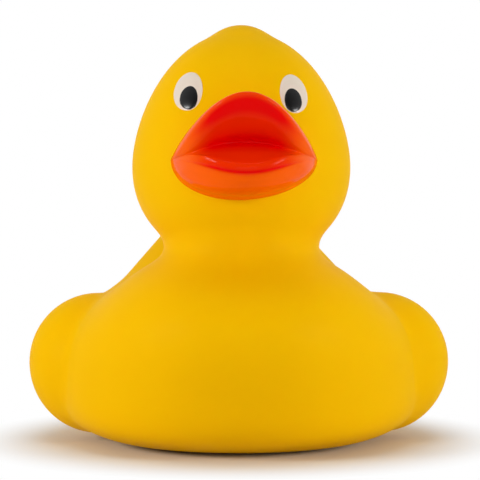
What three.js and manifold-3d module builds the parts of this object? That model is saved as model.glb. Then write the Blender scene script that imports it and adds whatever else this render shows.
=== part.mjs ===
// Rubber duck: a hollow body moulded in soft vinyl, with a squeaker pressed into its base.
// Millimetres, +Z up. The duck looks along -Y and its flat base lies on the floor.

import * as THREE from "three";
import { ParametricGeometry } from "three/addons/geometries/ParametricGeometry.js";
import { mergeVertices } from "three/addons/utils/BufferGeometryUtils.js";
import Module from "manifold-3d";

const wasm = await Module();
wasm.setup();

// The vinyl's wall, and the gap between pieces that fit together
const WALL = 1.9;
const CLEARANCE = 0.3;

// Hull: a rounded box, a little longer behind its centre than ahead of it, cut flat at the floor
const HULL = {
  centre: new THREE.Vector3(0, -0.1, 10.6),
  halfWidth: 31.6,
  front: 32,
  back: 34,
  above: 17.5,
  below: 11.9,
  planPower: 2.15,
  sectionPower: 3,
  baseRound: 1,
};

// Chest: an egg that carries the neck and bulges ahead of the hull
const CHEST = {
  centre: new THREE.Vector3(0, -11.6, 20.6),
  radii: new THREE.Vector3(23, 25.5, 15.5),
  blend: 7,
};

const NECK = {
  centre: new THREE.Vector3(0, -13.1, 35.6),
  radii: new THREE.Vector3(11.5, 13.5, 9),
  blend: 4,
};

// Head: an ellipsoid that narrows upwards by the share `taper`
const HEAD = {
  centre: new THREE.Vector3(0, -11.1, 52),
  radii: new THREE.Vector3(18.5, 19.3, 20),
  taper: 0.155,
  blend: 3,
};

// Crest: a small tuft on the crown, its centre this far behind and above the head's
const CREST = {
  behind: 2,
  rise: 17.8,
  radii: new THREE.Vector3(4.3, 5.8, 3.3),
  blend: 3,
};

// Wing: a row of balls from the shoulder to the wing tip, hung lower by the share `droop`
const WING = {
  inset: 6.6,
  shoulder: { y: 0.9, z: 14, radius: 12.2 },
  tip: { inset: 10.6, y: 23.9, z: 18.1, radius: 5.5 },
  droop: 1.04,
  blend: 1.1,
};

// Tail: a row of balls from the rump to the tail tip, flattened into a fan
const TAIL = {
  rump: { y: 16.9, z: 16.6, radius: 12 },
  tip: { y: 37.9, z: 40.6, radius: 3.2 },
  fan: 2.35,
  blend: 6,
};

// Bill: an open beak whose corners sit this far below the head's centre
const BILL = {
  halfWidth: 12.35,
  drop: 1.9,
  rootDepth: 1.3,
  stations: 26,
  samples: 3,
};

// The bill's section at the middle, going forward over the top, back along the palate to the
// corner of the mouth, forward over the lower lip and back under it. reach is measured forward
// from the root, height from the corners, and power says how fast a height fades to the sides.
const BILL_SECTION = [
  { reach: -2.8, height: 9.4, power: 0.95 }, // top, inside the face
  { reach: 3.4, height: 8.8, power: 0.95 }, // dip of the top
  { reach: 7.8, height: 9.8, power: 0.95 }, // rise to the rim
  { reach: 10.7, height: 11.2, power: 0.97 }, // rim, top
  { reach: 11.9, height: 11.2, power: 0.97 }, // rim, tip
  { reach: 11.7, height: 9.8, power: 0.97 }, // rim, underside
  { reach: 9.9, height: 7.3, power: 1.0 }, // palate, outer
  { reach: 7.2, height: 5.0, power: 1.0 }, // palate, inner
  { reach: 4.8, height: 3.6, power: 1.0 }, // corner of the mouth
  { reach: 8.0, height: 1.7, power: 1.2 }, // lower lip, inner
  { reach: 10.7, height: -0.5, power: 2.2 }, // lower lip, top
  { reach: 11.1, height: -1.9, power: 1.3 }, // lower lip, tip
  { reach: 9.3, height: -4.2, power: 0.65 }, // chin
  { reach: 5.8, height: -5.6, power: 0.52 }, // underside
  { reach: 1.0, height: -6.1, power: 0.5 }, // underside, at the face
  { reach: -1.2, height: 0.0, power: 1.0 }, // root, inside the face
];

// Eye: a low painted boss, its place measured from the head's centre and its long axis leaning in
const EYE = {
  side: 8.9,
  rise: 9.5,
  halfWidth: 3.2,
  halfHeight: 4.25,
  depth: 0.9,
  proud: 0.35,
  leanDegrees: 9,
};

// Squeaker seat in the base: a round recess, and a hole through the wall above it
const SEAT = { recessRadius: 9.5, recessDepth: 1.6, wall: 2, bossMargin: 2, holeRadius: 6.3 };

// Squeaker housing, a turned shape that snaps into the hole
const HOUSING = {
  flangeRim: 1,
  barbGrip: 0.9,
  barbLength: 1.7,
  barrelWall: 1.3,
  boreRadius: 4.2,
  floor: 2.1,
  height: 11,
  airRadius: 1.2,
};

const HOLDER = { foot: 1.7, headroom: 0.6, grooveWidth: 1.6, grooveDepth: 0.9, grooveEnd: 1.2 };
const REED = { width: 3.2, thickness: 0.3, headroom: 1.2 };
const CLAMP = { height: 2 };

// Mesh steps: rows over the tail's cap, the fan of planes, the neck's column and the head's cap,
// then points round
const SKIN_STEPS = { tail: 8, fan: 28, neck: 6, head: 12, round: 46 };
const CAVITY_STEPS = { tail: 5, fan: 13, neck: 4, head: 7, round: 30 };
const TURN_STEPS = 40;
const RAY_STEP = 1;
const RAY_HALVINGS = 22;
const GRADIENT_STEP = 0.01;

// Two distances joined with a fillet of width k
function smoothMin(a, b, k) {
  const nearness = Math.max(k - Math.abs(a - b), 0) / k;
  return Math.min(a, b) - (nearness * nearness * k) / 4;
}

function smoothMax(a, b, k) {
  return -smoothMin(-a, -b, k);
}

// Distance to an ellipsoid, exact on its surface
function ellipsoidDistance(point, centre, radii) {
  const scaled = point.clone().sub(centre).divide(radii);
  const size = scaled.length();
  const slope = scaled.divide(radii).length();
  return slope > 1e-9 ? (size * (size - 1)) / slope : -Math.min(radii.x, radii.y, radii.z);
}

// Distance to the hull of two balls: a smaller or larger ball runs from one to the other
function roundConeDistance(point, start, startRadius, end, endRadius) {
  const axis = end.clone().sub(start);
  const length = axis.length();
  axis.divideScalar(length);
  const offset = point.clone().sub(start);
  const along = offset.dot(axis);
  const across = Math.sqrt(Math.max(offset.lengthSq() - along * along, 0));
  const shrink = startRadius - endRadius;
  const slant = Math.sqrt(length * length - shrink * shrink);
  const share = THREE.MathUtils.clamp((along - (across * shrink) / slant) / length, 0, 1);
  return Math.hypot(along - share * length, across) - (startRadius - share * shrink);
}

function hullDistance(point) {
  const q = point.clone().sub(HULL.centre);
  const length = q.length();
  if (length < 1e-6) return -HULL.below;
  const planY = q.y < 0 ? HULL.front : HULL.back;
  const sectionZ = q.z < 0 ? HULL.below : HULL.above;
  const plan =
    Math.abs(q.x / HULL.halfWidth) ** HULL.planPower + Math.abs(q.y / planY) ** HULL.planPower;
  const size =
    (plan ** (HULL.sectionPower / HULL.planPower) +
      Math.abs(q.z / sectionZ) ** HULL.sectionPower) **
    (1 / HULL.sectionPower);
  return length - length / size;
}

function headDistance(point) {
  const q = point.clone().sub(HEAD.centre);
  const narrowing = 1 - HEAD.taper * THREE.MathUtils.clamp(q.z / HEAD.radii.z, -1.3, 1.3);
  q.x /= narrowing;
  q.y /= narrowing;
  return ellipsoidDistance(q, new THREE.Vector3(), HEAD.radii);
}

const wingShoulder = new THREE.Vector3(
  HULL.halfWidth - WING.inset,
  WING.shoulder.y,
  WING.shoulder.z,
);
const wingTip = new THREE.Vector3(HULL.halfWidth - WING.tip.inset, WING.tip.y, WING.tip.z);

function wingDistance(point) {
  const q = new THREE.Vector3(Math.abs(point.x), point.y, point.z);
  const share = THREE.MathUtils.clamp((q.y - wingShoulder.y) / (wingTip.y - wingShoulder.y), 0, 1);
  const axisHeight = THREE.MathUtils.lerp(wingShoulder.z, wingTip.z, share);
  if (q.z < axisHeight) q.z = axisHeight + (q.z - axisHeight) / WING.droop;
  return roundConeDistance(q, wingShoulder, WING.shoulder.radius, wingTip, WING.tip.radius);
}

const tailRump = new THREE.Vector3(0, TAIL.rump.y, TAIL.rump.z);
const tailTip = new THREE.Vector3(0, TAIL.tip.y, TAIL.tip.z);

function tailDistance(point) {
  const q = new THREE.Vector3(point.x / TAIL.fan, point.y, point.z);
  return roundConeDistance(q, tailRump, TAIL.rump.radius, tailTip, TAIL.tip.radius);
}

const crestCentre = HEAD.centre.clone().add(new THREE.Vector3(0, CREST.behind, CREST.rise));

// Field of the whole body: below zero inside, zero on the skin, above zero outside
function bodyField(point) {
  let field = smoothMin(hullDistance(point), tailDistance(point), TAIL.blend);
  field = smoothMin(field, ellipsoidDistance(point, CHEST.centre, CHEST.radii), CHEST.blend);
  field = smoothMin(field, ellipsoidDistance(point, NECK.centre, NECK.radii), NECK.blend);
  field = smoothMin(field, wingDistance(point), WING.blend);
  field = smoothMin(field, headDistance(point), HEAD.blend);
  field = smoothMin(field, ellipsoidDistance(point, crestCentre, CREST.radii), CREST.blend);
  return smoothMax(field, -point.z, HULL.baseRound);
}

function bodyGradient(point) {
  const slope = ["x", "y", "z"].map((axis) => {
    const ahead = point.clone();
    const behind = point.clone();
    ahead[axis] += GRADIENT_STEP;
    behind[axis] -= GRADIENT_STEP;
    return (bodyField(ahead) - bodyField(behind)) / (2 * GRADIENT_STEP);
  });
  return new THREE.Vector3(...slope);
}

// Field of the hollow: the skin moved inwards by the wall
function cavityField(point) {
  return bodyField(point) / Math.max(bodyGradient(point).length(), 0.3) + WALL;
}

// Walks along a ray from inside a field until it leaves it, then halves the last step
function surfacePoint(field, origin, direction) {
  const at = (distance) => origin.clone().addScaledVector(direction, distance);
  let near = 0;
  while (field(at(near + RAY_STEP)) < 0) near += RAY_STEP;
  let far = near + RAY_STEP;
  for (let i = 0; i < RAY_HALVINGS; i++) {
    const middle = (near + far) / 2;
    if (field(at(middle)) < 0) near = middle;
    else far = middle;
  }
  return at((near + far) / 2);
}

// The spine runs from the tail through the hull to the neck and up into the head. Half-planes
// fan out from a pivot above the duck's back as far as the neck, then lie level up to the head,
// and rays leave the spine in each of them.
const tailCore = tailRump.clone().lerp(tailTip, 0.72);
const hullCore = HULL.centre.clone().add(new THREE.Vector3(0, 1.9, 1.5));
const neckCore = NECK.centre.clone();
const headCore = HEAD.centre.clone().add(new THREE.Vector3(0, -1, -2));
const pivot = neckCore.clone().add(new THREE.Vector3(0, 27.1, 0.4));

function polar(core) {
  const angle = Math.atan2(core.z - pivot.z, core.y - pivot.y);
  return { angle: angle > 0 ? angle - 2 * Math.PI : angle, distance: core.distanceTo(pivot) };
}

const tailPolar = polar(tailCore);
const hullPolar = polar(hullCore);
const neckDistance = pivot.y - neckCore.y;
const hullShare = (hullPolar.angle - tailPolar.angle) / (-Math.PI - tailPolar.angle);
const hullBulge =
  (hullPolar.distance - THREE.MathUtils.lerp(tailPolar.distance, neckDistance, hullShare)) /
  (hullShare * (1 - hullShare));

// Ray number (round, row) over the tail's cap, the fan, the neck's column and the head's cap
function skinRay(round, row, steps) {
  const share = (start, count) => THREE.MathUtils.clamp((row - start) / count, 0, 1);
  const tailLift = 1 - share(0, steps.tail);
  const fan = share(steps.tail, steps.fan);
  const column = share(steps.tail + steps.fan, steps.neck);
  const headLift = share(steps.tail + steps.fan + steps.neck, steps.head);
  const lift = ((tailLift + headLift) * Math.PI) / 2;
  const angle = THREE.MathUtils.lerp(tailPolar.angle, -Math.PI, fan);
  const distance =
    THREE.MathUtils.lerp(tailPolar.distance, neckDistance, fan) + hullBulge * fan * (1 - fan);
  const outward = new THREE.Vector3(0, Math.cos(angle), Math.sin(angle));
  const normal = new THREE.Vector3(0, -Math.sin(angle), Math.cos(angle));
  if (fan === 1) normal.negate();
  const turn = tailLift === 1 || headLift === 1 ? 0 : -round * 2 * Math.PI;
  const direction = new THREE.Vector3(Math.cos(turn), 0, 0)
    .addScaledVector(outward, Math.sin(turn))
    .multiplyScalar(Math.cos(lift))
    .addScaledVector(normal, Math.sin(lift))
    .normalize();
  const origin = pivot.clone().addScaledVector(outward, distance);
  if (column > 0) origin.lerp(headCore, column);
  return { origin, direction };
}

// Closed skin of a field as a grid of rays
function skinGeometry(field, steps) {
  const rows = steps.tail + steps.fan + steps.neck + steps.head;
  const point = (u, v, target) => {
    const round = u >= 1 ? 0 : u;
    const { origin, direction } = skinRay(round, Math.round(v * rows), steps);
    target.copy(surfacePoint(field, origin, direction));
  };
  return new ParametricGeometry(point, steps.round, rows);
}

// Front of the head in the bill's root plane, at a distance x from the middle
function faceFront(x) {
  const share = x / (HEAD.radii.x * (1 + (HEAD.taper * BILL.drop) / HEAD.radii.z));
  return HEAD.centre.y - HEAD.radii.y * Math.sqrt(Math.max(1 - share * share, 0));
}

// Closed skin of the bill: its section is carried across the face and shrinks to both corners
function billGeometry() {
  const rounds = BILL_SECTION.length * BILL.samples;
  const curveAt = (v) => {
    const x = -BILL.halfWidth * Math.cos(Math.PI * v);
    const fullness = Math.round(v * BILL.stations) % BILL.stations ? Math.sin(Math.PI * v) : 0;
    const root = faceFront(x) + BILL.rootDepth;
    const points = BILL_SECTION.map(
      ({ reach, height, power }) =>
        new THREE.Vector3(
          x,
          root - reach * fullness,
          HEAD.centre.z - BILL.drop + height * fullness ** (2 * power),
        ),
    );
    return new THREE.CatmullRomCurve3(points, true, "catmullrom", 0.5);
  };
  const point = (u, v, target) => target.copy(curveAt(v).getPoint(u >= 1 ? 0 : u));
  return new ParametricGeometry(point, rounds, BILL.stations);
}

// A low ellipsoid on the face, its long axis leaning towards the middle
function eyeGeometry(side) {
  const aim = new THREE.Vector3(side * EYE.side, 0, EYE.rise);
  aim.y = -Math.sqrt(Math.max(HEAD.radii.y ** 2 - aim.x ** 2 - aim.z ** 2, 1));
  const surface = surfacePoint(bodyField, HEAD.centre, aim.normalize());
  const outward = bodyGradient(surface).normalize();
  const across = new THREE.Vector3(0, 0, 1).cross(outward).normalize();
  const up = outward.clone().cross(across);
  const axes = new THREE.Matrix4().makeBasis(across, up, outward);
  const lean = new THREE.Matrix4().makeRotationZ(THREE.MathUtils.degToRad(side * EYE.leanDegrees));
  const centre = surface.clone().addScaledVector(outward, EYE.proud - EYE.depth);
  return new THREE.SphereGeometry(1, 20, 12)
    .scale(EYE.halfWidth, EYE.halfHeight, EYE.depth)
    .applyMatrix4(axes.multiply(lean))
    .translate(centre.x, centre.y, centre.z);
}

// Solid from a three.js geometry: equal vertices are joined and collapsed faces dropped
function solidOf(geometry) {
  const bare = new THREE.BufferGeometry().setAttribute("position", geometry.getAttribute("position"));
  bare.setIndex(geometry.getIndex());
  const merged = mergeVertices(bare, 1e-4);
  const corners = merged.index.array;
  const kept = [];
  for (let i = 0; i < corners.length; i += 3) {
    const [a, b, c] = corners.slice(i, i + 3);
    if (a !== b && b !== c && c !== a) kept.push(a, b, c);
  }
  return new wasm.Manifold(
    new wasm.Mesh({
      numProp: 3,
      vertProperties: merged.attributes.position.array,
      triVerts: new Uint32Array(kept),
    }),
  );
}

function geometryOf(solid) {
  const { vertProperties, triVerts } = solid.getMesh();
  const geometry = new THREE.BufferGeometry();
  geometry.setAttribute("position", new THREE.BufferAttribute(vertProperties, 3));
  geometry.setIndex(new THREE.BufferAttribute(triVerts, 1));
  geometry.computeVertexNormals();
  return geometry;
}

// Turned solid from (radius, height) points, about the vertical axis through the base's centre
function turned(outline) {
  const points = outline.map(([radius, height]) => new THREE.Vector2(radius, height));
  points.push(points[0].clone());
  return new THREE.LatheGeometry(points, TURN_STEPS).rotateX(Math.PI / 2);
}

function disc(radius, low, high) {
  return turned([
    [0, low],
    [radius, low],
    [radius, high],
    [0, high],
  ]);
}

function block(halfWidth, back, front, low, high) {
  const depth = front - back;
  return new THREE.BoxGeometry(2 * halfWidth, depth, high - low).translate(
    0,
    back + depth / 2,
    (low + high) / 2,
  );
}

// Heights in the base, from the floor up
const recessTop = SEAT.recessDepth;
const holeTop = recessTop + SEAT.wall;
const flangeLow = CLEARANCE;
const flangeTop = recessTop - CLEARANCE;
const barbLow = holeTop + CLEARANCE;
const boreRadius = HOUSING.boreRadius;
const boreFloor = flangeLow + HOUSING.floor;
const housingTop = flangeLow + HOUSING.height;

function duckBody() {
  const outside = [billGeometry(), eyeGeometry(-1), eyeGeometry(1)].reduce(
    (solid, geometry) => solid.add(solidOf(geometry)),
    solidOf(skinGeometry(bodyField, SKIN_STEPS)),
  );
  const boss = solidOf(disc(SEAT.recessRadius + SEAT.bossMargin, -1, holeTop));
  const hollow = solidOf(skinGeometry(cavityField, CAVITY_STEPS)).subtract(boss);
  const recess = solidOf(disc(SEAT.recessRadius, -1, recessTop));
  const hole = solidOf(disc(SEAT.holeRadius, -1, holeTop + 1));
  return geometryOf(outside.subtract(hollow).subtract(recess).subtract(hole));
}

function squeakerHousing() {
  const barrelRadius = boreRadius + HOUSING.barrelWall;
  const neckRadius = SEAT.holeRadius - CLEARANCE;
  const flangeRadius = SEAT.recessRadius - HOUSING.flangeRim;
  return turned([
    [HOUSING.airRadius, flangeLow],
    [flangeRadius, flangeLow],
    [flangeRadius, flangeTop],
    [neckRadius, flangeTop],
    [neckRadius, barbLow],
    [SEAT.holeRadius + HOUSING.barbGrip, barbLow],
    [barrelRadius, barbLow + HOUSING.barbLength],
    [barrelRadius, housingTop],
    [boreRadius, housingTop],
    [boreRadius, boreFloor],
    [HOUSING.airRadius, boreFloor],
  ]);
}

const holderRadius = boreRadius - CLEARANCE;
const footLow = boreFloor + CLEARANCE;
const footTop = footLow + HOLDER.foot;
const holderTop = housingTop - HOLDER.headroom;

// A foot that fills the bore and a half-round post above it, with a flat table and an air groove
function reedHolder() {
  const round = solidOf(disc(holderRadius, footLow, holderTop));
  const table = solidOf(block(holderRadius + 1, 0, holderRadius + 1, footTop, holderTop + 1));
  const grooveHalf = HOLDER.grooveWidth / 2;
  const depth = HOLDER.grooveDepth;
  const groove = solidOf(block(grooveHalf, -depth, depth, footLow - 1, holderTop - HOLDER.grooveEnd));
  return geometryOf(round.subtract(table).subtract(groove));
}

const reedFront = CLEARANCE;
const reedBack = reedFront + REED.thickness;
const reedLow = footTop + CLEARANCE;

function squeakerReed() {
  return block(REED.width / 2, reedFront, reedBack, reedLow, holderTop - REED.headroom);
}

// The part of a disc that lies behind the reed, so it wedges the reed's root against the table
function reedClamp() {
  const round = solidOf(disc(holderRadius, reedLow, reedLow + CLAMP.height));
  const reach = holderRadius + 1;
  const front = solidOf(block(reach, -reach, reedBack + CLEARANCE, reedLow - 1, housingTop));
  return geometryOf(round.subtract(front));
}

const yellowVinyl = new THREE.MeshStandardMaterial({ color: 0xf6c200, roughness: 0.5, metalness: 0 });
const whitePlastic = new THREE.MeshStandardMaterial({ color: 0xece8dc, roughness: 0.4, metalness: 0 });
const reedFilm = new THREE.MeshStandardMaterial({ color: 0xd9dde0, roughness: 0.3, metalness: 0 });

const duck = new THREE.Group();
const pieces = [
  ["duck_body", duckBody(), yellowVinyl],
  ["squeaker_housing", squeakerHousing(), whitePlastic],
  ["reed_holder", reedHolder(), whitePlastic],
  ["squeaker_reed", squeakerReed(), reedFilm],
  ["reed_clamp", reedClamp(), whitePlastic],
];
for (const [name, geometry, material] of pieces) {
  const mesh = new THREE.Mesh(geometry, material);
  mesh.name = name;
  duck.add(mesh);
}

// The origin is the middle of the whole duck, at the floor
const middle = new THREE.Box3().setFromObject(duck).getCenter(new THREE.Vector3());
duck.position.set(-middle.x, -middle.y, 0);

export default duck;
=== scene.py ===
"""A hollow toy duck in soft vinyl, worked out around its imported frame.

Shapes are worked out in millimetres, as distance fields and closed grids, and are fitted to the
frame's body when they become meshes. The duck looks along -Y and its flat base lies on the floor.
"""

import functools
import math

import bpy
import numpy as np
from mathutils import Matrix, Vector


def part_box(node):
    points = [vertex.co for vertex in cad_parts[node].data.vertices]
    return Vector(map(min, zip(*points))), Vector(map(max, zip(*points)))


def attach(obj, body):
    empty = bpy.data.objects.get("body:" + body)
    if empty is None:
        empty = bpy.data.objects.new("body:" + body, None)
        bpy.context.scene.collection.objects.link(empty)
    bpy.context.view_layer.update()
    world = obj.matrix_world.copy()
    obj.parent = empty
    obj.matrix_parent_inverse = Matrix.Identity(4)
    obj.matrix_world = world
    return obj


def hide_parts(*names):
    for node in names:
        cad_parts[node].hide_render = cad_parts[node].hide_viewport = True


bl_info = {
    "name": "Vinyl duck",
    "version": (1, 0, 0),
    "blender": (4, 5, 0),
    "location": "3D View > Sidebar > Duck",
    "description": "Makes a squeaking vinyl duck piece by piece, with its stage",
    "category": "Add Mesh",
}

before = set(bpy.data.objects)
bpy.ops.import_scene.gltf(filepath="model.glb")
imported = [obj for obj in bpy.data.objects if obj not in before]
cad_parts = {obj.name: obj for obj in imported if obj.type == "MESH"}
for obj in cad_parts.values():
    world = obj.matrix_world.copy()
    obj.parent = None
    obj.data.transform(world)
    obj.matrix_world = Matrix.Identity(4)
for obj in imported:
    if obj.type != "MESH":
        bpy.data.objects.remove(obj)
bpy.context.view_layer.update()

MM = 0.001

# Hull: a rounded box, a little longer behind its centre than ahead of it
HULL_CENTRE = np.array([0, -0.1, 10.6])
HULL_HALF_WIDTH = 31.6
HULL_FRONT = 32
HULL_BACK = 34
HULL_ABOVE = 17.5
HULL_BELOW = 11.3
HULL_PLAN_POWER = 2.15
HULL_SECTION_POWER = 3
BASE_ROUND = 1

CHEST_CENTRE = np.array([0, -11.6, 20.6])
CHEST_RADII = np.array([23, 25.5, 15.5])
CHEST_BLEND = 7

NECK_CENTRE = np.array([0, -13.1, 35.6])
NECK_RADII = np.array([11.1, 13.5, 9])
NECK_BLEND = 6

# Head: an ellipsoid that narrows upwards by the share HEAD_TAPER and fills out again above its
# centre by HEAD_FULLNESS, both up to HEAD_TAPER_END of its half height
HEAD_CENTRE = np.array([0, -11.1, 52])
HEAD_RADII = np.array([18.5, 19.3, 20])
HEAD_TAPER = 0.18
HEAD_FULLNESS = 0.085
HEAD_TAPER_END = 1.3
HEAD_BLEND = 3

# Crest: a small tuft on the crown. The frame's box stands CREST_GAP over it
CREST_CENTRE = HEAD_CENTRE + np.array([0, 2, 17.7])
CREST_RADII = np.array([4.3, 5.8, 3.1])
CREST_BLEND = 2.4
CREST_GAP = 0.4

# Wing: a row of balls from the shoulder to the tip, set in from the hull's side and hung lower by
# the share WING_DROOP
WING_SHOULDER_INSET = 6.6
WING_SHOULDER = np.array([HULL_HALF_WIDTH - WING_SHOULDER_INSET, 0.9, 13.8])
WING_SHOULDER_RADIUS = 12.2
WING_TIP_INSET = 10.6
WING_TIP = np.array([HULL_HALF_WIDTH - WING_TIP_INSET, 23.9, 18.1])
WING_TIP_RADIUS = 5.5
WING_DROOP = 1.03
WING_BLEND = 1.2

# Tail: a row of balls from the rump to the tip, widened into a fan
TAIL_RUMP = np.array([0, 16.9, 16.6])
TAIL_RUMP_RADIUS = 12
TAIL_TIP = np.array([0, 37.9, 40.6])
TAIL_TIP_RADIUS = 3.2
TAIL_FAN = 2.35
TAIL_BLEND = 6

# The spine that the skin's rays leave, from the tail through the hull to the neck and the head, and
# the pivot behind the neck that their planes fan out from
TAIL_CORE_SHARE = 0.72
TAIL_CORE = TAIL_RUMP + TAIL_CORE_SHARE * (TAIL_TIP - TAIL_RUMP)
HULL_CORE = HULL_CENTRE + np.array([0, 1.9, 1.5])
HEAD_CORE = HEAD_CENTRE + np.array([0, -1, -2])
PIVOT = NECK_CENTRE + np.array([0, 27.1, 0.4])

# Rows of rays over the tail's cap, the fan of planes, the neck's column and the head's cap, and
# rays round each row, for the skin and for the hollow in it
SKIN_ROWS = (34, 150, 26, 64)
SKIN_ROUND = 260
HOLLOW_ROWS = (16, 60, 12, 30)
HOLLOW_ROUND = 110

# A ray walks at most RAY_LIMIT steps, and halves its last step RAY_HALVINGS times
RAY_STEP = 1
RAY_LIMIT = 90
RAY_HALVINGS = 24

# Slopes are taken over a small step to either side, and what divides is held over a least value
GRADIENT_STEP = 0.01
LEAST_STEEPNESS = 0.3
NEAR_ZERO = 1e-6

# Bill: its corners lie BILL_DROP below the head's centre and BILL_ROOT_DEPTH inside the face
BILL_HALF_WIDTH = 12.35
BILL_DROP = 1.9
BILL_ROOT_DEPTH = 1.3
BILL_STATIONS = 200
BILL_SAMPLES = 14

# The open mouth lies between these points of the section. It gets shallow towards the corners, down
# to WEB_SHARE of closed where the web begins, and closes at the end. MOUTH_DEEP and WEB_START are
# shares of the bill's half width
MOUTH_FIRST = 4
MOUTH_LAST = 12
MOUTH_DEEP = 0.15
WEB_START = 0.92
WEB_SHARE = 0.8

# The lower half sits askew by a share of x. This comes in between two depths below the corners
BILL_ASKEW = 0.045
ASKEW_START = 1.5
ASKEW_FULL = 4

# Red paint, and the painted shade deep in the mouth, come in between these shares of the squared
# fullness across the bill
RED_SHADE_START = 0.3
RED_SHADE_FULL = 0.85

# The bill's section at the middle, as (reach forward, height over the corners, how fast that height
# fades to the sides, swell halfway to the sides, share of red): over the top, back along the
# palate, out over the lip and back below. The share of red is partly the mouth's red paint and
# partly painted shade: it is highest under the rim, in the corner of the mouth and under the ridge
BILL_SECTION = (
    (-2.8, 9.8, 0.8, 0, 0),  # top, inside the face
    (3.4, 9.9, 0.84, 0, 0),  # dip of the top
    (7.8, 10.9, 0.88, 0, 0),  # rise to the rim
    (10.7, 11.6, 0.95, 0, 0.1),  # rim, top
    (11.9, 11.5, 1.1, 0, 0.5),  # rim, tip
    (11.6, 10.0, 1.15, 0, 1.1),  # rim, underside
    (9.9, 7.6, 1.13, 0, 0.85),  # palate, outer
    (7.4, 5.2, 1.05, 0, 0.9),  # palate, inner
    (4.8, 3.4, 1.0, 0, 1.05),  # corner of the mouth
    (7.6, 1.8, 1.2, 0.4, 0.8),  # lower lip, inner
    (9.9, 0.4, 1.7, 1.2, 0.8),  # lower lip, ridge
    (10.5, -0.3, 1.9, 1.15, 0.75),  # bead of the ridge, top
    (10.6, -1.0, 1.0, 0.83, 0.85),  # bead of the ridge, bottom
    (10.4, -1.45, 1.0, 0.79, 1),  # under the ridge
    (10.35, -2.05, 1.0, 0.72, 0.15),  # lower lip, front
    (9.9, -3.1, 0.9, 0.3, 0),  # lower lip, rounding
    (8.6, -4.4, 0.68, 0, 0),  # chin
    (5.6, -5.4, 0.54, 0, 0),  # underside
    (1.0, -5.9, 0.52, 0, 0),  # underside, at the face
    (-1.2, 0.0, 1.0, 0, 0),  # root, inside the face
)

# Eyes: low painted domes, printed from straight ahead and placed from the head's centre. They are
# egg-shaped, their tops lean inwards, and the pair sits a little askew
EYE_SIDE = 8.75
EYE_RISE = 9.53
EYE_SHIFT = -0.47
EYE_LEAN = math.radians(16)
EYE_ROLL = math.radians(1.3)
EYE_TAPER = 0.1
EYE_SINK = 0.7
EYE_ROWS = 48
EYE_ROUND = 96

# Squeaker seat in the base, whose cutters run CUT_OVERLAP past what they cut
RECESS_RADIUS = 9.5
RECESS_DEPTH = 1.6
SEAT_WALL = 2
BOSS_MARGIN = 2
HOLE_RADIUS = 6.3
CUT_OVERLAP = 1

# Housing, turned to fit the seat with CLEARANCE all round
CLEARANCE = 0.3
FLANGE_RIM = 1
BARB_GRIP = 0.9
BARB_LENGTH = 1.7
BARREL_WALL = 1.3
BORE_RADIUS = 4.2
HOUSING_FLOOR = 2.1
HOUSING_HEIGHT = 11
HOUSING_EDGE = 0.25
AIR_RADIUS = 1.2
TURN_STEPS = 144
CORNER_STEPS = 5

# Edges that turn by more than these degrees are shaded sharp
BODY_SHARP = 50
HOUSING_SHARP = 35

# Widths of the finishes' patterns and the height of their bumps. The vinyl's clouds hold CLOUD_SHADE
# of its pigment, and the plastics' roughness varies by PLASTIC_SPREAD
VINYL_CLOUDS = 9
VINYL_GRAIN = 0.35
SPRAY_DRIFT = 5
ORANGE_PEEL = 0.8
PRINT_WAVER = 1.2
PLASTIC_GRAIN = 0.5
FILM_GRAIN = 1
BUMP_HEIGHT = 0.02
CLOUD_SHADE = 0.965
PLASTIC_SPREAD = 0.05

# Most of a noise lies between these values
NOISE_LOW = 0.3
NOISE_HIGH = 0.7

# Stage, in metres: the floor turns from shadow to white between two distances from its middle, and
# gloss sees it white from FLOOR_WHITE_FROM behind the duck
FLOOR_HALF_WIDTH = 3
FLOOR_FADE_START = 0.032
FLOOR_FADE_END = 0.05
FLOOR_WHITE_FROM = 0.12

# Studio walls: from dark to pale between two shares of the direction's Y, and white to gloss from a
# third one on
WALL_DARK_AT = -0.6
WALL_PALE_AT = 0.4
WALL_DARK = 0.1
WALL_PALE = 0.52
WALL_WHITE_FROM = 0.6

# Softboxes, in metres and watts: name, place, size across and up, and power. All face LAMP_AIM
LAMP_AIM = (0, 0, 0.035)
LAMPS = (
    ("left_softbox", (-0.448, -0.181, 0.164), (0.17, 0.12), 1.07),
    ("right_softbox", (0.448, -0.2, 0.13), (0.17, 0.12), 0.96),
    ("top_softbox", (0, -0.12, 0.5), (0.3, 0.3), 0.54),
    ("front_fill", (0, -0.62, 0.17), (0.6, 0.3), 0.72),
)

# Camera: width of its sensor in millimetres, and the nearest that it sees, in metres
SENSOR_WIDTH = 36
CLIP_START = 0.01


def hex_to_linear(code):
    """Linear RGB of an sRGB hex colour, by the standard curve with its straight toe."""
    parts = [int(code[i : i + 2], 16) / 255 for i in (1, 3, 5)]
    return [p / 12.92 if p <= 0.04045 else ((p + 0.055) / 1.055) ** 2.4 for p in parts]


def length(name, description, millimetres):
    """A length property with its default in millimetres."""
    return bpy.props.FloatProperty(
        name=name, description=description, default=millimetres * MM, unit="LENGTH"
    )


def angle(name, description, degrees):
    """An angle property with its default in degrees."""
    return bpy.props.FloatProperty(
        name=name, description=description, default=math.radians(degrees), subtype="ANGLE"
    )


def colour(name, description, code):
    """A colour property with an sRGB hex default."""
    return bpy.props.FloatVectorProperty(
        name=name,
        description=description,
        default=hex_to_linear(code),
        subtype="COLOR",
        size=3,
        min=0,
        max=1,
    )


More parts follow.
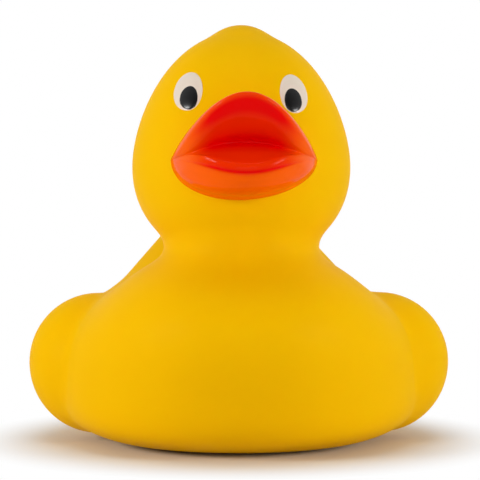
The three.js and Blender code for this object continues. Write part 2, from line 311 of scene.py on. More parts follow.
class DuckSizes(bpy.types.PropertyGroup):
    """Sizes that a maker would change."""

    wall: length("Wall", "Thickness of the vinyl", 1.9)
    eye_half_width: length("Eye half width", "Half of an eye's width", 2.3)
    eye_half_height: length("Eye half height", "Half of an eye's height", 3.25)
    eye_proud: length("Eye height", "How far an eye stands off the face", 0.3)
    pupil_half_width: length("Pupil half width", "Half of a pupil's width", 1.43)
    pupil_half_height: length("Pupil half height", "Half of a pupil's height", 1.94)
    pupil_drop: length("Pupil drop", "How far a pupil lies below its eye's middle", 1.05)
    pupil_inward: length("Pupil inward", "How far a pupil lies towards the bill", 0.48)
    pupil_proud: length("Pupil height", "How far a pupil stands off its eye", 0.12)
    edge: length("Edge radius", "Radius of the squeaker seat's edges", 0.4)


class DuckColours(bpy.types.PropertyGroup):
    """Colours that a maker would change."""

    vinyl: colour("Vinyl", "Pigment of the moulded vinyl", "#f9be00")
    bill: colour("Bill paint", "Paint of the bill's outside", "#fb5f00")
    # Red paint of the mouth, darkened with painted shade for the hollow of the open bill
    mouth: colour("Mouth paint", "Paint inside the open bill", "#ec0000")
    eye: colour("Eye paint", "Paint of the eyes", "#e7d7c6")
    pupil: colour("Pupil paint", "Paint of the pupils", "#0c0b0c")
    plastic: colour("Squeaker plastic", "Plastic of the squeaker", "#ece8dc")
    film: colour("Reed film", "Film of the squeaker's reed", "#d9dde0")
    floor: colour("Floor", "Floor under the duck", "#f0f0f0")


class DuckStage(bpy.types.PropertyGroup):
    """Where the camera stands and what it looks at."""

    distance: length("Distance", "From the camera to its target", 460)
    azimuth: angle("Azimuth", "Camera's turn round the duck", -1.8)
    elevation: angle("Elevation", "Camera's height as an angle", 3.5)
    target: bpy.props.FloatVectorProperty(
        name="Target",
        description="Point that the camera looks at",
        default=(0, -4.1 * MM, 35.6 * MM),
        subtype="TRANSLATION",
        unit="LENGTH",
    )
    lens: bpy.props.FloatProperty(
        name="Lens", description="Focal length in millimetres", default=197.3, unit="CAMERA"
    )


def smooth_min(a, b, width):
    """The smaller of two distances, rounded by a quarter of width where they are equal."""
    nearness = np.maximum(width - np.abs(a - b), 0) / width
    return np.minimum(a, b) - nearness * nearness * width / 4


def ellipsoid_distance(points, centre, radii):
    """Length of the scaled point times that less one, over the length of the point scaled twice."""
    scaled = (points - centre) / radii
    size = np.linalg.norm(scaled, axis=-1)
    slope = np.linalg.norm(scaled / radii, axis=-1)
    outward = size * (size - 1) / np.maximum(slope, NEAR_ZERO)
    return np.where(slope > NEAR_ZERO, outward, -np.min(radii))


def round_cone_distance(points, start, start_radius, end, end_radius):
    """Distance to the nearest ball of a row whose radius changes evenly from start to end."""
    axis = end - start
    length_along = np.linalg.norm(axis)
    axis = axis / length_along
    offset = points - start
    along = offset @ axis
    across = np.sqrt(np.maximum((offset * offset).sum(-1) - along * along, 0))
    shrink = start_radius - end_radius
    slant = math.sqrt(length_along * length_along - shrink * shrink)
    share = np.clip((along - across * shrink / slant) / length_along, 0, 1)
    return np.hypot(along - share * length_along, across) - (start_radius - share * shrink)


def hull_distance(points):
    """Length of the point from the centre, less the length where its ray leaves a superellipse."""
    q = points - HULL_CENTRE
    from_centre = np.maximum(np.linalg.norm(q, axis=-1), NEAR_ZERO)
    reach = np.where(q[..., 1] < 0, HULL_FRONT, HULL_BACK)
    rise = np.where(q[..., 2] < 0, HULL_BELOW, HULL_ABOVE)
    plan = np.abs(q[..., 0] / HULL_HALF_WIDTH) ** HULL_PLAN_POWER
    plan = plan + np.abs(q[..., 1] / reach) ** HULL_PLAN_POWER
    section = np.abs(q[..., 2] / rise) ** HULL_SECTION_POWER
    size = plan ** (HULL_SECTION_POWER / HULL_PLAN_POWER) + section
    return from_centre - from_centre / size ** (1 / HULL_SECTION_POWER)


def head_distance(points):
    """Distance to an ellipsoid whose width and depth shrink evenly with height, and grow again
    with the square of the height over its centre."""
    q = points - HEAD_CENTRE
    rise = np.clip(q[..., 2] / HEAD_RADII[2], -HEAD_TAPER_END, HEAD_TAPER_END)
    narrowing = 1 - HEAD_TAPER * rise + HEAD_FULLNESS * np.maximum(rise, 0) ** 2
    q[..., :2] /= narrowing[..., None]
    return ellipsoid_distance(q, np.zeros(3), HEAD_RADII)


def wing_distance(points):
    """Distance to the wing's row of balls, with what hangs below its axis stretched by the droop."""
    q = points.copy()
    q[..., 0] = np.abs(q[..., 0])
    share = np.clip((q[..., 1] - WING_SHOULDER[1]) / (WING_TIP[1] - WING_SHOULDER[1]), 0, 1)
    axis_height = WING_SHOULDER[2] + share * (WING_TIP[2] - WING_SHOULDER[2])
    below = q[..., 2] - axis_height
    q[..., 2] = np.where(below < 0, axis_height + below / WING_DROOP, q[..., 2])
    return round_cone_distance(q, WING_SHOULDER, WING_SHOULDER_RADIUS, WING_TIP, WING_TIP_RADIUS)


def tail_distance(points):
    """Distance to the tail's row of balls, with width divided by the fan."""
    q = points / np.array([TAIL_FAN, 1, 1])
    return round_cone_distance(q, TAIL_RUMP, TAIL_RUMP_RADIUS, TAIL_TIP, TAIL_TIP_RADIUS)


def body_field(points):
    """Filleted union of hull, tail, chest, neck, wings, head and crest, cut flat at the floor."""
    field = smooth_min(hull_distance(points), tail_distance(points), TAIL_BLEND)
    field = smooth_min(field, ellipsoid_distance(points, CHEST_CENTRE, CHEST_RADII), CHEST_BLEND)
    field = smooth_min(field, ellipsoid_distance(points, NECK_CENTRE, NECK_RADII), NECK_BLEND)
    field = smooth_min(field, wing_distance(points), WING_BLEND)
    field = smooth_min(field, head_distance(points), HEAD_BLEND)
    field = smooth_min(field, ellipsoid_distance(points, CREST_CENTRE, CREST_RADII), CREST_BLEND)
    return -smooth_min(-field, points[..., 2], BASE_ROUND)


def body_gradient(points):
    """Slope of the field along x, y and z, from its values a small step to either side."""
    steps = np.eye(3) * GRADIENT_STEP
    rises = [body_field(points + step) - body_field(points - step) for step in steps]
    return np.stack(rises, axis=-1) / (2 * GRADIENT_STEP)


def hollow_field(points, wall):
    """The body's field over its slope, plus the wall: negative in the hollow inside the vinyl."""
    steepness = np.linalg.norm(body_gradient(points), axis=-1)
    return body_field(points) / np.maximum(steepness, LEAST_STEEPNESS) + wall


def surface_points(field, origins, directions):
    """Where rays from inside first leave a field: they walk in steps, then halve the last step."""
    near = np.zeros(origins.shape[:-1])
    walking = np.ones(near.shape, bool)
    for _ in range(RAY_LIMIT):
        values = field(origins + directions * (near + RAY_STEP)[..., None])
        walking &= values < 0
        near = np.where(walking, near + RAY_STEP, near)
        if not walking.any():
            break
    far = near + RAY_STEP
    for _ in range(RAY_HALVINGS):
        middle = (near + far) / 2
        inside = field(origins + directions * middle[..., None]) < 0
        near = np.where(inside, middle, near)
        far = np.where(inside, far, middle)
    return origins + directions * ((near + far) / 2)[..., None]


def polar(core):
    """Angle and distance at which the pivot sees a point of the spine. The angle lies between minus
    a full turn and 0."""
    turn = math.atan2(core[2] - PIVOT[2], core[1] - PIVOT[1])
    return (turn - 2 * math.pi if turn > 0 else turn), math.dist(core, PIVOT)


def skin_rays(rows, around):
    """Origins and directions of the rays, row by row and round each row.

    Half-planes fan out from the pivot, from the tail's angle to the level one through the neck.
    The origins' distance from the pivot changes evenly, with a parabola added for the hull. The
    neck's column moves the origins up to the head. In the caps, rays lift by a quarter turn.
    """
    tail_turn, tail_reach = polar(TAIL_CORE)
    hull_turn, hull_reach = polar(HULL_CORE)
    neck_turn = -math.pi
    neck_reach = PIVOT[1] - NECK_CENTRE[1]
    hull_share = (hull_turn - tail_turn) / (neck_turn - tail_turn)
    even_reach = tail_reach + hull_share * (neck_reach - tail_reach)
    bulge = (hull_reach - even_reach) / (hull_share * (1 - hull_share))
    starts = np.cumsum((0,) + rows[:-1])
    row = np.arange(sum(rows) + 1)[:, None]
    tail, fan, column, head = [np.clip((row - s) / n, 0, 1) for s, n in zip(starts, rows)]
    lift = (1 - tail + head) * math.pi / 2
    plane = tail_turn + fan * (neck_turn - tail_turn)
    reach = tail_reach + fan * (neck_reach - tail_reach) + bulge * fan * (1 - fan)
    zero = np.zeros_like(plane)
    outward = np.stack([zero, np.cos(plane), np.sin(plane)], axis=-1)
    normal = np.stack([zero, -np.sin(plane), np.cos(plane)], axis=-1)
    normal = np.where((fan == 1)[..., None], -normal, normal)
    turn = -2 * math.pi * np.arange(around)[None, :] / around
    flat = np.cos(turn)[..., None] * np.array([1, 0, 0]) + np.sin(turn)[..., None] * outward
    directions = flat * np.cos(lift)[..., None] + normal * np.sin(lift)[..., None]
    origins = PIVOT + outward * reach[..., None]
    origins = origins + column[..., None] * (HEAD_CORE - origins)
    return np.broadcast_to(origins, directions.shape), directions


@functools.lru_cache
def skin_grid():
    """The duck's outer skin, as rings of points from the tail's tip to the crown."""
    return surface_points(body_field, *skin_rays(SKIN_ROWS, SKIN_ROUND))


def hollow_grid(wall):
    """The inside of the vinyl, as rings of points from the tail's tip to the crown."""
    field = functools.partial(hollow_field, wall=wall)
    return surface_points(field, *skin_rays(HOLLOW_ROWS, HOLLOW_ROUND))


def face_front(x):
    """Front of the head's ellipse at the height of the bill's corners."""
    share = x / (HEAD_RADII[0] * (1 + HEAD_TAPER * BILL_DROP / HEAD_RADII[2]))
    return HEAD_CENTRE[1] - HEAD_RADII[1] * np.sqrt(np.maximum(1 - share * share, 0))


def closed_curves(points, samples):
    """Catmull-Rom curves through closed rows of points: a cubic whose slope at each point is half
    of the step between its two neighbours."""
    before = np.roll(points, 1, axis=1)[:, :, None]
    after = np.roll(points, -1, axis=1)[:, :, None]
    beyond = np.roll(points, -2, axis=1)[:, :, None]
    here = points[:, :, None]
    t = (np.arange(samples) / samples)[:, None]
    slope = (after - before) / 2
    next_slope = (beyond - here) / 2
    cubic = 2 * (here - after) + slope + next_slope
    square = 3 * (after - here) - 2 * slope - next_slope
    curve = here + t * slope + t**2 * square + t**3 * cubic
    return curve.reshape(len(points), -1, points.shape[-1])


def soft_step(value, low, high):
    """Rise from 0 at low to 1 at high: three squares less two cubes of the share between them."""
    share = np.clip((value - low) / (high - low), 0, 1)
    return share * share * (3 - 2 * share)


@functools.lru_cache
def bill_sections():
    """The bill's rings, as x, y, z and the share of red paint and painted shade.

    The section is carried across the face. x runs as a cosine, and the reach shrinks with the sine
    of the same angle. Each height shrinks with that sine to twice its power, and its swell is
    largest where the sine's square is a half. Towards the corners, the mouth's points move to the
    line between the rim's tip and the lower lip's bead, first forwards and then up or down too.
    """
    v = np.linspace(0, 1, BILL_STATIONS + 1)[:, None]
    fullness = np.sin(math.pi * v)
    fullness[[0, -1]] = 0
    square = fullness**2
    x = -BILL_HALF_WIDTH * np.cos(math.pi * v)
    reach, height, fade, swell, red = np.array(BILL_SECTION).T
    forward = reach * fullness
    rise = height * square**fade + 4 * swell * square * (1 - square)
    inner = slice(MOUTH_FIRST, MOUTH_LAST + 1)
    share = np.linspace(0, 1, MOUTH_LAST - MOUTH_FIRST + 1)
    aside = np.abs(x) / BILL_HALF_WIDTH
    closing = soft_step(aside, WEB_START, 1)
    shallow = WEB_SHARE * soft_step(aside, MOUTH_DEEP, WEB_START)
    for part, shut in ((forward, shallow + (1 - WEB_SHARE) * closing), (rise, closing)):
        web = part[:, [MOUTH_FIRST]] * (1 - share) + part[:, [MOUTH_LAST]] * share
        part[:, inner] += shut * (web - part[:, inner])
    askew = BILL_ASKEW * x * fullness * soft_step(-height, ASKEW_START, ASKEW_FULL)
    y = face_front(x) + BILL_ROOT_DEPTH - forward
    z = HEAD_CENTRE[2] - BILL_DROP + rise + askew
    # Share of red paint and painted shade, faded out towards the corners
    red_and_painted_shade = red * soft_step(square, RED_SHADE_START, RED_SHADE_FULL)
    rings = np.stack([np.broadcast_to(x, y.shape), y, z, red_and_painted_shade], axis=-1)
    return closed_curves(rings, BILL_SAMPLES)


def bill_grid():
    """The bill's surface, as rings of points from its right corner to its left one."""
    return bill_sections()[..., :3]


def dome_height(a, b, domes):
    """Sum of low half-ellipsoids, each given as (middle a, middle b, half width, half height,
    height): its height times the root of one less the square of the place's share of its half
    axes."""
    total = 0
    for middle_a, middle_b, half_width, half_height, proud in domes:
        share = ((a - middle_a) / half_width) ** 2 + ((b - middle_b) / half_height) ** 2
        total = total + proud * np.sqrt(np.maximum(1 - share, 0))
    return total


def eye_grid(side, domes):
    """A closed lens on the face, with the last dome's outline as an egg seen from straight ahead.

    Its angle v runs from the front's middle over the edge to the back's middle. The front stands
    off the skin by the domes' height, and the back lies up to EYE_SINK inside it.
    """
    middle_a, middle_b, half_width, half_height, _ = domes[-1]
    v = np.linspace(0, math.pi, EYE_ROWS + 1)[:, None]
    turn = -2 * math.pi * np.arange(EYE_ROUND)[None, :] / EYE_ROUND
    spread = np.sin(v)
    spread[[0, -1]] = 0
    a = middle_a + half_width * spread * np.cos(turn) * (1 - EYE_TAPER * spread * np.sin(turn))
    b = middle_b + half_height * spread * np.sin(turn)
    lean = side * EYE_LEAN - EYE_ROLL
    across = np.array([math.cos(lean), 0, math.sin(lean)])
    up = np.array([-math.sin(lean), 0, math.cos(lean)])
    rise = EYE_RISE - side * EYE_SIDE * math.sin(EYE_ROLL)
    start = HEAD_CENTRE + np.array([side * EYE_SIDE + EYE_SHIFT, 0, rise])
    origins = start + a[..., None] * across + b[..., None] * up
    skin = surface_points(body_field, origins, np.broadcast_to([0, -1, 0], origins.shape))
    outward = body_gradient(skin[0, 0])
    outward = outward / np.linalg.norm(outward)
    sunk = -EYE_SINK * np.sqrt(np.maximum(-np.cos(v), 0))
    lift = np.where(v <= math.pi / 2, dome_height(a, b, domes), sunk)
    return skin + lift[..., None] * outward


def rounded_corner(centre, radius, start, end):
    """Points (radius, height) on an arc round a centre, from one angle in degrees to another."""
    turns = np.radians(np.linspace(start, end, CORNER_STEPS + 1))
    return [(centre[0] + radius * math.cos(t), centre[1] + radius * math.sin(t)) for t in turns]


def disc_outline(radius, low, high):
    """Outline of a plain disc, as (radius, height) from the axis out and back to it."""
    return [(0, low), (radius, low), (radius, high), (0, high)]


def flared_outline(radius, low, high, edge, mouth):
    """Outline of a disc whose side flares by a quarter round to its mouth's height."""
    flare = rounded_corner((radius + edge, mouth + edge), edge, 270, 180)
    return [(0, low), (radius + edge, low), *flare, (radius, high), (0, high)]


def housing_outline():
    """The housing's closed section: flange, neck in the hole, barb, barrel, bore and air hole."""
    low = CLEARANCE
    flange_top = RECESS_DEPTH - CLEARANCE
    barb_low = RECESS_DEPTH + SEAT_WALL + CLEARANCE
    high = low + HOUSING_HEIGHT
    floor = low + HOUSING_FLOOR
    flange = RECESS_RADIUS - FLANGE_RIM
    neck = HOLE_RADIUS - CLEARANCE
    barrel = BORE_RADIUS + BARREL_WALL
    edge = HOUSING_EDGE
    return [
        *rounded_corner((AIR_RADIUS + edge, low + edge), edge, 180, 270),
        *rounded_corner((flange - edge, low + edge), edge, 270, 360),
        *rounded_corner((flange - edge, flange_top - edge), edge, 0, 90),
        (neck, flange_top),
        (neck, barb_low),
        (HOLE_RADIUS + BARB_GRIP, barb_low),
        (barrel, barb_low + BARB_LENGTH),
        *rounded_corner((barrel - edge, high - edge), edge, 0, 90),
        *rounded_corner((BORE_RADIUS + edge, high - edge), edge, 90, 180),
        (BORE_RADIUS, floor),
        (AIR_RADIUS, floor),
    ]


def turned_rings(outline):
    """Rings of points, one for each (radius, height) of an outline, about the upright axis."""
    radius, height = np.array(outline).T[..., None]
    turn = 2 * math.pi * np.arange(TURN_STEPS) / TURN_STEPS
    level = np.broadcast_to(height, (len(outline), TURN_STEPS))
    return np.stack([radius * np.cos(turn), radius * np.sin(turn), level], axis=-1)


def quads_between(rings, next_rings):
    """Faces of four points between rings of point numbers and the rings that follow them."""
    beside = np.roll(rings, -1, axis=1)
    corner = np.roll(next_rings, -1, axis=1)
    return np.stack([rings, beside, corner, next_rings], axis=-1).reshape(-1, 4).tolist()


def closed_surface(grid):
    """Points and faces of rings whose first and last rings are single points."""
    rings, around = grid.shape[:2]
    points = np.concatenate([grid[0, :1], grid[1:-1].reshape(-1, 3), grid[-1, :1]])
    ring = 1 + np.arange((rings - 2) * around).reshape(rings - 2, around)
    beside = np.roll(ring, -1, axis=1)
    first = np.zeros(around, int)
    last = np.full(around, len(points) - 1)
    first_fan = np.stack([first, beside[0], ring[0]], axis=-1).tolist()
    last_fan = np.stack([last, ring[-1], beside[-1]], axis=-1).tolist()
    return points, quads_between(ring[:-1], ring[1:]) + first_fan + last_fan


def looped_surface(grid):
    """Points and faces of rings of which the last one leads back to the first."""
    ring = np.arange(grid.shape[0] * grid.shape[1]).reshape(grid.shape[:2])
    return grid.reshape(-1, 3), quads_between(ring, np.roll(ring, -1, axis=0))


@functools.lru_cache
def frame_fit():
    """Scale and shift, along each axis, that put the skin and the bill in the frame's body box,
    with the gap over the crest."""
    points = np.concatenate([skin_grid().reshape(-1, 3), bill_grid().reshape(-1, 3)])
    low, high = points.min(0), points.max(0)
    box_low, box_high = [np.array(corner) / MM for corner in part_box("duck_body")]
    box_high[2] -= CREST_GAP
    scale = (box_high - box_low) / (high - low)
    return scale, box_low - low * scale


def to_frame(points):
    """Points in millimetres as metres in the frame."""
    scale, shift = frame_fit()
    return (points * scale + shift) * MM


def make_piece(name, surface, material=None):
    """A smooth mesh object at the origin from (points in millimetres, faces)."""
    points, faces = surface
    mesh = bpy.data.meshes.new(name)
    mesh.from_pydata(to_frame(points).astype(np.float32), [], faces)
    mesh.shade_smooth()
    if material is not None:
        mesh.materials.append(material)
    mesh.validate()
    piece = bpy.data.objects.new(name, mesh)
    bpy.context.scene.collection.objects.link(piece)
    return piece


def smooth_up_to(piece, degrees):
    """Shades a piece smooth, but for edges that turn by more than some degrees."""
    piece.data.shade_smooth()
    piece.data.set_sharp_from_angle(angle=math.radians(degrees))


def cut(piece, cutter):
    """Cuts a piece with another mesh and removes the other one."""
    modifier = piece.modifiers.new("cut", "BOOLEAN")
    modifier.operation = "DIFFERENCE"
    modifier.object = cutter
    modifier.solver = "MANIFOLD"
    finished = piece.evaluated_get(bpy.context.evaluated_depsgraph_get())
    changed = bpy.data.meshes.new_from_object(finished)
    piece.modifiers.clear()
    old = piece.data
    if not len(changed.polygons):
        raise RuntimeError(f"cutting {piece.name} left nothing")
    changed.name = piece.name
    piece.data = changed
    bpy.data.meshes.remove(old)
    bpy.data.objects.remove(cutter)


def add(tree, kind, **values):
    """Adds a node of a kind and fills what the values name, with spaces as underscores.

    A value goes to the property of its name, or else to the inputs of its name that are in use,
    one for each item of a list. A node or an output is linked, where a node stands for its first
    output in use, and anything else is set.
    """
    node = tree.nodes.new(kind)
    for name, value in values.items():
        if hasattr(node, name):
            setattr(node, name, value)
            continue
        sockets = [s for s in node.inputs if s.enabled and s.name == name.replace("_", " ")]
        items = value if isinstance(value, list) else [value]
        for socket, item in zip(sockets, items, strict=True):
            if isinstance(item, bpy.types.Node):
                item = next(s for s in item.outputs if s.enabled)
            if isinstance(item, bpy.types.NodeSocket):
                tree.links.new(item, socket)
            else:
                socket.default_value = item
    return node


def new_material(name):
    """A material, its emptied node tree and the place on the piece, in Object coordinates."""
    material = bpy.data.materials.new(name)
    material.use_nodes = True
    tree = material.node_tree
    tree.nodes.clear()
    return material, tree, add(tree, "ShaderNodeTexCoord").outputs["Object"]


def rgba(values):
    """A linear colour with its alpha of 1, as colour inputs take it."""
    return (*values, 1)


def soft_vinyl(colours):
    """Soft PVC, slush moulded: satin, one clean yellow, faintly clouded, with a very fine grain."""
    material, tree, place = new_material("soft_pvc_vinyl")
    clouds = add(
        tree,
        "ShaderNodeTexNoise",
        Scale=1 / (VINYL_CLOUDS * MM),
        Detail=2,
        Roughness=0.5,
        Vector=place,
    )
    # The mould's grain is about 0.1 mm and is drawn at VINYL_GRAIN, the finest that shows
    grain = add(
        tree,
        "ShaderNodeTexNoise",
        Scale=1 / (VINYL_GRAIN * MM),
        Detail=2,
        Roughness=0.6,
        Vector=place,
    )
    tint = add(
        tree,
        "ShaderNodeMix",
        data_type="RGBA",
        Factor=clouds,
        A=rgba(colours.vinyl),
        B=rgba([c * CLOUD_SHADE for c in colours.vinyl]),
    )
    rough = add(
        tree,
        "ShaderNodeMapRange",
        From_Min=NOISE_LOW,
        From_Max=NOISE_HIGH,
        To_Min=0.46,
        To_Max=0.54,
        Value=clouds,
    )
    bump = add(tree, "ShaderNodeBump", Strength=0.25, Distance=BUMP_HEIGHT * MM, Height=grain)
    # Clean PVC would take a specular level of 0.5, but this skin shows hardly any white sheen
    shader = add(
        tree,
        "ShaderNodeBsdfPrincipled",
        Base_Color=tint,
        Roughness=rough,
        IOR=1.5,
        Specular_IOR_Level=0.015,
        Subsurface_Weight=0.12,
        Subsurface_Radius=(1.0, 0.45, 0.1),
        Subsurface_Scale=1.2 * MM,
        Normal=bump,
    )
    add(tree, "ShaderNodeOutputMaterial", Surface=shader)
    return material


def bill_paint(colours):
    """Gloss vinyl paint, sprayed by hand: orange outside, redder inside the mouth, and darkened
    there with painted shade.
    """
    material, tree, place = new_material("sprayed_gloss_paint")
    # The mouth's share of red paint and painted shade
    inside = add(tree, "ShaderNodeAttribute", attribute_name="mouth").outputs["Fac"]
    drift = add(
        tree,
        "ShaderNodeTexNoise",
        Scale=1 / (SPRAY_DRIFT * MM),
        Detail=2,
        Roughness=0.5,
        Vector=place,
    )
    # Spray levels out to orange peel
    peel = add(
        tree,
        "ShaderNodeTexNoise",
        Scale=1 / (ORANGE_PEEL * MM),
        Detail=1,
        Roughness=0.4,
        Vector=place,
    )
    mixed = add(
        tree,
        "ShaderNodeMix",
        data_type="RGBA",
        Factor=inside,
        A=rgba(colours.bill),
        B=rgba(colours.mouth),
    )
    rough = add(
        tree,
        "ShaderNodeMapRange",
        From_Min=NOISE_LOW,
        From_Max=NOISE_HIGH,
        To_Min=0.1,
        To_Max=0.14,
        Value=drift,
    )
    bump = add(tree, "ShaderNodeBump", Strength=0.2, Distance=BUMP_HEIGHT * MM, Height=peel)
    # A full specular level would wash the red out where the pale studio shows in it
    shader = add(
        tree,
        "ShaderNodeBsdfPrincipled",
        Base_Color=mixed,
        Roughness=rough,
        IOR=1.5,
        Specular_IOR_Level=0.055,
        Normal=bump,
    )
    add(tree, "ShaderNodeOutputMaterial", Surface=shader)
    return material


def eye_paint(name, tint, roughness):
    """Pad-printed enamel: an even, glossy coat that lies very slightly uneven."""
    material, tree, place = new_material(name)
    waver = add(
        tree,
        "ShaderNodeTexNoise",
        Scale=1 / (PRINT_WAVER * MM),
        Detail=1,
        Roughness=0.4,
        Vector=place,
    )
    bump = add(tree, "ShaderNodeBump", Strength=0.05, Distance=BUMP_HEIGHT * MM, Height=waver)
    shader = add(
        tree,
        "ShaderNodeBsdfPrincipled",
        Base_Color=rgba(tint),
        Roughness=roughness,
        IOR=1.5,
        Normal=bump,
    )
    add(tree, "ShaderNodeOutputMaterial", Surface=shader)
    return material


def moulded_plastic(name, tint, roughness, grain):
    """Injection moulded plastic or film: even, with a faint grain from its mould or roller."""
    material, tree, place = new_material(name)
    texture = add(
        tree,
        "ShaderNodeTexNoise",
        Scale=1 / (grain * MM),
        Detail=2,
        Roughness=0.5,
        Vector=place,
    )
    rough = add(
        tree,
        "ShaderNodeMapRange",
        From_Min=NOISE_LOW,
        From_Max=NOISE_HIGH,
        To_Min=roughness - PLASTIC_SPREAD,
        To_Max=roughness + PLASTIC_SPREAD,
        Value=texture,
    )
    bump = add(tree, "ShaderNodeBump", Strength=0.3, Distance=BUMP_HEIGHT * MM, Height=texture)
    shader = add(
        tree,
        "ShaderNodeBsdfPrincipled",
        Base_Color=rgba(tint),
        Roughness=rough,
        IOR=1.5,
        Normal=bump,
    )
    add(tree, "ShaderNodeOutputMaterial", Surface=shader)
    return material


class MakeBody(bpy.types.Operator):
    """Makes the hollow vinyl body with the squeaker's seat in its base"""

    bl_idname = "duck.body"
    bl_label = "Body"

    def execute(self, context):
        sizes = context.scene.duck_sizes
        edge = sizes.edge / MM
        hole_top = RECESS_DEPTH + SEAT_WALL
        vinyl = soft_vinyl(context.scene.duck_colours)
        body = make_piece("duck_skin", closed_surface(skin_grid()), vinyl)
        hollow = make_piece("hollow", closed_surface(hollow_grid(sizes.wall / MM)))
        boss = disc_outline(RECESS_RADIUS + BOSS_MARGIN, -CUT_OVERLAP, hole_top)
        cut(hollow, make_piece("boss", closed_surface(turned_rings(boss))))
        cut(body, hollow)
        recess = flared_outline(RECESS_RADIUS, -CUT_OVERLAP, RECESS_DEPTH, edge, 0)
        cut(body, make_piece("recess", closed_surface(turned_rings(recess))))
        hole_low = RECESS_DEPTH - CUT_OVERLAP
        hole = flared_outline(HOLE_RADIUS, hole_low, hole_top + CUT_OVERLAP, edge / 2, RECESS_DEPTH)
        cut(body, make_piece("hole", closed_surface(turned_rings(hole))))
        smooth_up_to(body, BODY_SHARP)
        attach(body, "root")
        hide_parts("duck_body")
        return {"FINISHED"}


class MakeBill(bpy.types.Operator):
    """Makes the open bill with its sprayed paint"""

    bl_idname = "duck.bill"
    bl_label = "Bill"

    def execute(self, context):
        paint = bill_paint(context.scene.duck_colours)
        bill = make_piece("bill", closed_surface(bill_grid()), paint)
        self.mark_mouth_red_and_shade(bill)
        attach(bill, "root")
        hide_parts("duck_body")
        return {"FINISHED"}

    def mark_mouth_red_and_shade(self, bill):
        """Attribute with the share of red paint and painted shade at each point: 0 outside and up to
        1 in the mouth.
        """
        red = np.clip(bill_sections()[..., 3], 0, 1)
        values = np.concatenate([red[0, :1], red[1:-1].ravel(), red[-1, :1]]).astype(np.float32)
        attribute = bill.data.attributes.new("mouth", "FLOAT", "POINT")
        attribute.data.foreach_set("value", values)


class MakeEyes(bpy.types.Operator):
    """Makes both eyes, each a white dome with a black pupil on it"""

    bl_idname = "duck.eyes"
    bl_label = "Eyes"

    def execute(self, context):
        colours = context.scene.duck_colours
        white_paint = eye_paint("white_enamel", colours.eye, roughness=0.3)
        black_paint = eye_paint("black_enamel", colours.pupil, roughness=0.25)
        for side, name in ((-1, "right"), (1, "left")):
            white, black = self.domes(side, context.scene.duck_sizes)
            for part, domes, paint in (
                ("eye", (white,), white_paint),
                ("pupil", (white, black), black_paint),
            ):
                piece = make_piece(f"{name}_{part}", closed_surface(eye_grid(side, domes)), paint)
                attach(piece, "root")
                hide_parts("duck_body")
        return {"FINISHED"}

    def domes(self, side, sizes):
        """The white's and the pupil's domes in millimetres, in the form that eye_grid takes."""
        white = (0, 0, sizes.eye_half_width, sizes.eye_half_height, sizes.eye_proud)
        black = (
            -side * sizes.pupil_inward,
            -sizes.pupil_drop,
            sizes.pupil_half_width,
            sizes.pupil_half_height,
            sizes.pupil_proud,
        )
        return np.array([white, black]) / MM


class MakeSqueaker(bpy.types.Operator):
    """Makes the squeaker's turned housing and finishes the parts inside it"""

    bl_idname = "duck.squeaker"
    bl_label = "Squeaker"

    def execute(self, context):
        colours = context.scene.duck_colours
        plastic = moulded_plastic(
            "moulded_polyethylene", colours.plastic, roughness=0.4, grain=PLASTIC_GRAIN
        )
        film = moulded_plastic("polyester_film", colours.film, roughness=0.3, grain=FILM_GRAIN)
        housing = make_piece("housing", looped_surface(turned_rings(housing_outline())), plastic)
        smooth_up_to(housing, HOUSING_SHARP)
        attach(housing, "root")
        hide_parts("squeaker_housing")
        finishes = {"reed_holder": plastic, "reed_clamp": plastic, "squeaker_reed": film}
        for node, material in finishes.items():
            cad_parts[node].data.materials.clear()
            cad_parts[node].data.materials.append(material)
        return {"FINISHED"}


def white_to_eye(tree, behind):
    """Node that is 1 for camera rays, and for glossy and transmitted rays that end behind."""
    path = add(tree, "ShaderNodeLightPath").outputs
    mirrored = [path["Is Glossy Ray"], path["Is Transmission Ray"]]
    gloss = add(tree, "ShaderNodeMath", operation="MAXIMUM", Value=mirrored)
    gloss_behind = add(tree, "ShaderNodeMath", operation="MULTIPLY", Value=[gloss, behind])
    seen = [path["Is Camera Ray"], gloss_behind]
    return add(tree, "ShaderNodeMath", operation="MAXIMUM", Value=seen)


def stage_floor(colours):
    """Pale floor: matt near the duck, where it keeps the shadow, and plain white further off."""
    material, tree, place = new_material("painted_board")
    away = add(tree, "ShaderNodeVectorMath", operation="LENGTH", Vector=place)
    fade = add(
        tree,
        "ShaderNodeMapRange",
        interpolation_type="SMOOTHSTEP",
        From_Min=FLOOR_FADE_START,
        From_Max=FLOOR_FADE_END,
        Value=away,
    )
    # Gloss sees the white too, where it looks past the duck
    depth = add(tree, "ShaderNodeSeparateXYZ", Vector=place).outputs["Y"]
    behind = add(tree, "ShaderNodeMath", operation="GREATER_THAN", Value=[depth, FLOOR_WHITE_FROM])
    seen = white_to_eye(tree, behind)
    share = add(tree, "ShaderNodeMath", operation="MULTIPLY", Value=[seen, fade])
    matt = add(tree, "ShaderNodeBsdfDiffuse", Color=rgba(colours.floor))
    white = add(tree, "ShaderNodeEmission", Color=(1, 1, 1, 1), Strength=1)
    mixed = add(tree, "ShaderNodeMixShader", Fac=share, Shader=[matt, white])
    add(tree, "ShaderNodeOutputMaterial", Surface=mixed)
    return material


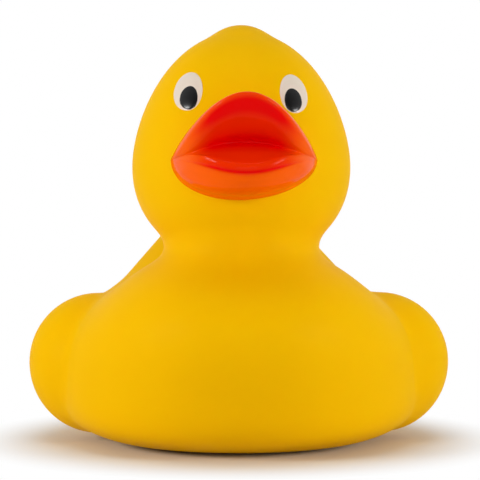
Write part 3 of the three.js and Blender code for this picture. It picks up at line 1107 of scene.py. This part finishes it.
def studio_world():
    """Pale studio: white to the camera, and grey walls that light the duck, dark behind the camera
    and paler beside and behind the duck."""
    world = bpy.data.worlds.new("studio")
    world.use_nodes = True
    tree = world.node_tree
    tree.nodes.clear()
    direction = add(tree, "ShaderNodeTexCoord").outputs["Generated"]
    depth = add(tree, "ShaderNodeSeparateXYZ", Vector=direction).outputs["Y"]
    wall = add(
        tree,
        "ShaderNodeMapRange",
        interpolation_type="SMOOTHSTEP",
        From_Min=WALL_DARK_AT,
        From_Max=WALL_PALE_AT,
        To_Min=WALL_DARK,
        To_Max=WALL_PALE,
        Value=depth,
    )
    # Gloss sees the white backdrop too, where it looks back past the duck
    behind = add(tree, "ShaderNodeMath", operation="GREATER_THAN", Value=[depth, WALL_WHITE_FROM])
    level = add(tree, "ShaderNodeMix", Factor=white_to_eye(tree, behind), A=wall, B=1)
    back = add(tree, "ShaderNodeBackground", Color=(1, 1, 1, 1), Strength=level)
    add(tree, "ShaderNodeOutputWorld", Surface=back)
    return world


class MakeStage(bpy.types.Operator):
    """Makes the floor, the lamps, the world and the camera"""

    bl_idname = "duck.stage"
    bl_label = "Stage"

    def execute(self, context):
        scene = context.scene
        self.make_floor(scene)
        scene.world = studio_world()
        self.make_lamps(scene)
        self.make_camera(scene)
        scene.view_settings.view_transform = "Standard"
        return {"FINISHED"}

    def make_floor(self, scene):
        """A level square under the duck."""
        half = FLOOR_HALF_WIDTH
        corners = [(-half, -half, 0), (half, -half, 0), (half, half, 0), (-half, half, 0)]
        mesh = bpy.data.meshes.new("floor")
        mesh.from_pydata(corners, [], [(0, 1, 2, 3)])
        mesh.materials.append(stage_floor(scene.duck_colours))
        floor = bpy.data.objects.new("floor", mesh)
        scene.collection.objects.link(floor)

    def make_lamps(self, scene):
        """Softboxes at their places, each turned to the aim."""
        for name, place, size, power in LAMPS:
            data = bpy.data.lights.new(name, "AREA")
            data.shape = "RECTANGLE"
            data.size, data.size_y = size
            data.energy = power
            lamp = bpy.data.objects.new(name, data)
            lamp.location = place
            ahead = Vector(LAMP_AIM) - Vector(place)
            lamp.rotation_euler = ahead.to_track_quat("-Z", "Y").to_euler()
            scene.collection.objects.link(lamp)

    def make_camera(self, scene):
        """The camera looks back at its target from a distance along its azimuth and elevation."""
        stage = scene.duck_stage
        flat = math.cos(stage.elevation)
        across = math.sin(stage.azimuth) * flat
        forward = -math.cos(stage.azimuth) * flat
        back = Vector((across, forward, math.sin(stage.elevation)))
        data = bpy.data.cameras.new("camera")
        data.lens = stage.lens
        data.sensor_width = SENSOR_WIDTH
        data.clip_start = CLIP_START
        camera = bpy.data.objects.new("camera", data)
        camera.location = Vector(stage.target) + back * stage.distance
        camera.rotation_euler = (-back).to_track_quat("-Z", "Y").to_euler()
        scene.collection.objects.link(camera)
        scene.camera = camera


OPERATORS = (MakeBody, MakeBill, MakeEyes, MakeSqueaker, MakeStage)
GROUPS = {"duck_sizes": DuckSizes, "duck_colours": DuckColours, "duck_stage": DuckStage}


class DuckPanel(bpy.types.Panel):
    """Lists the sizes, colours and camera values, and the pieces in the order they are made"""

    bl_idname = "VIEW3D_PT_duck"
    bl_label = "Vinyl duck"
    bl_space_type = "VIEW_3D"
    bl_region_type = "UI"
    bl_category = "Duck"

    def draw(self, context):
        for name in GROUPS:
            values = getattr(context.scene, name)
            column = self.layout.column()
            for key in type(values).__annotations__:
                column.prop(values, key)
        for operator in OPERATORS:
            self.layout.operator(operator.bl_idname)


def register():
    """Registers the classes and gives every scene its groups of values."""
    for kind in (*GROUPS.values(), *OPERATORS, DuckPanel):
        bpy.utils.register_class(kind)
    for name, kind in GROUPS.items():
        setattr(bpy.types.Scene, name, bpy.props.PointerProperty(type=kind))


def unregister():
    """Takes back what register did, in the opposite order."""
    for name in GROUPS:
        delattr(bpy.types.Scene, name)
    for kind in (DuckPanel, *reversed(OPERATORS), *reversed(GROUPS.values())):
        bpy.utils.unregister_class(kind)


def main():
    """Makes every piece and the stage."""
    register()
    bpy.ops.duck.body()
    bpy.ops.duck.bill()
    bpy.ops.duck.eyes()
    bpy.ops.duck.squeaker()
    bpy.ops.duck.stage()


if __name__ == "__main__":
    main()
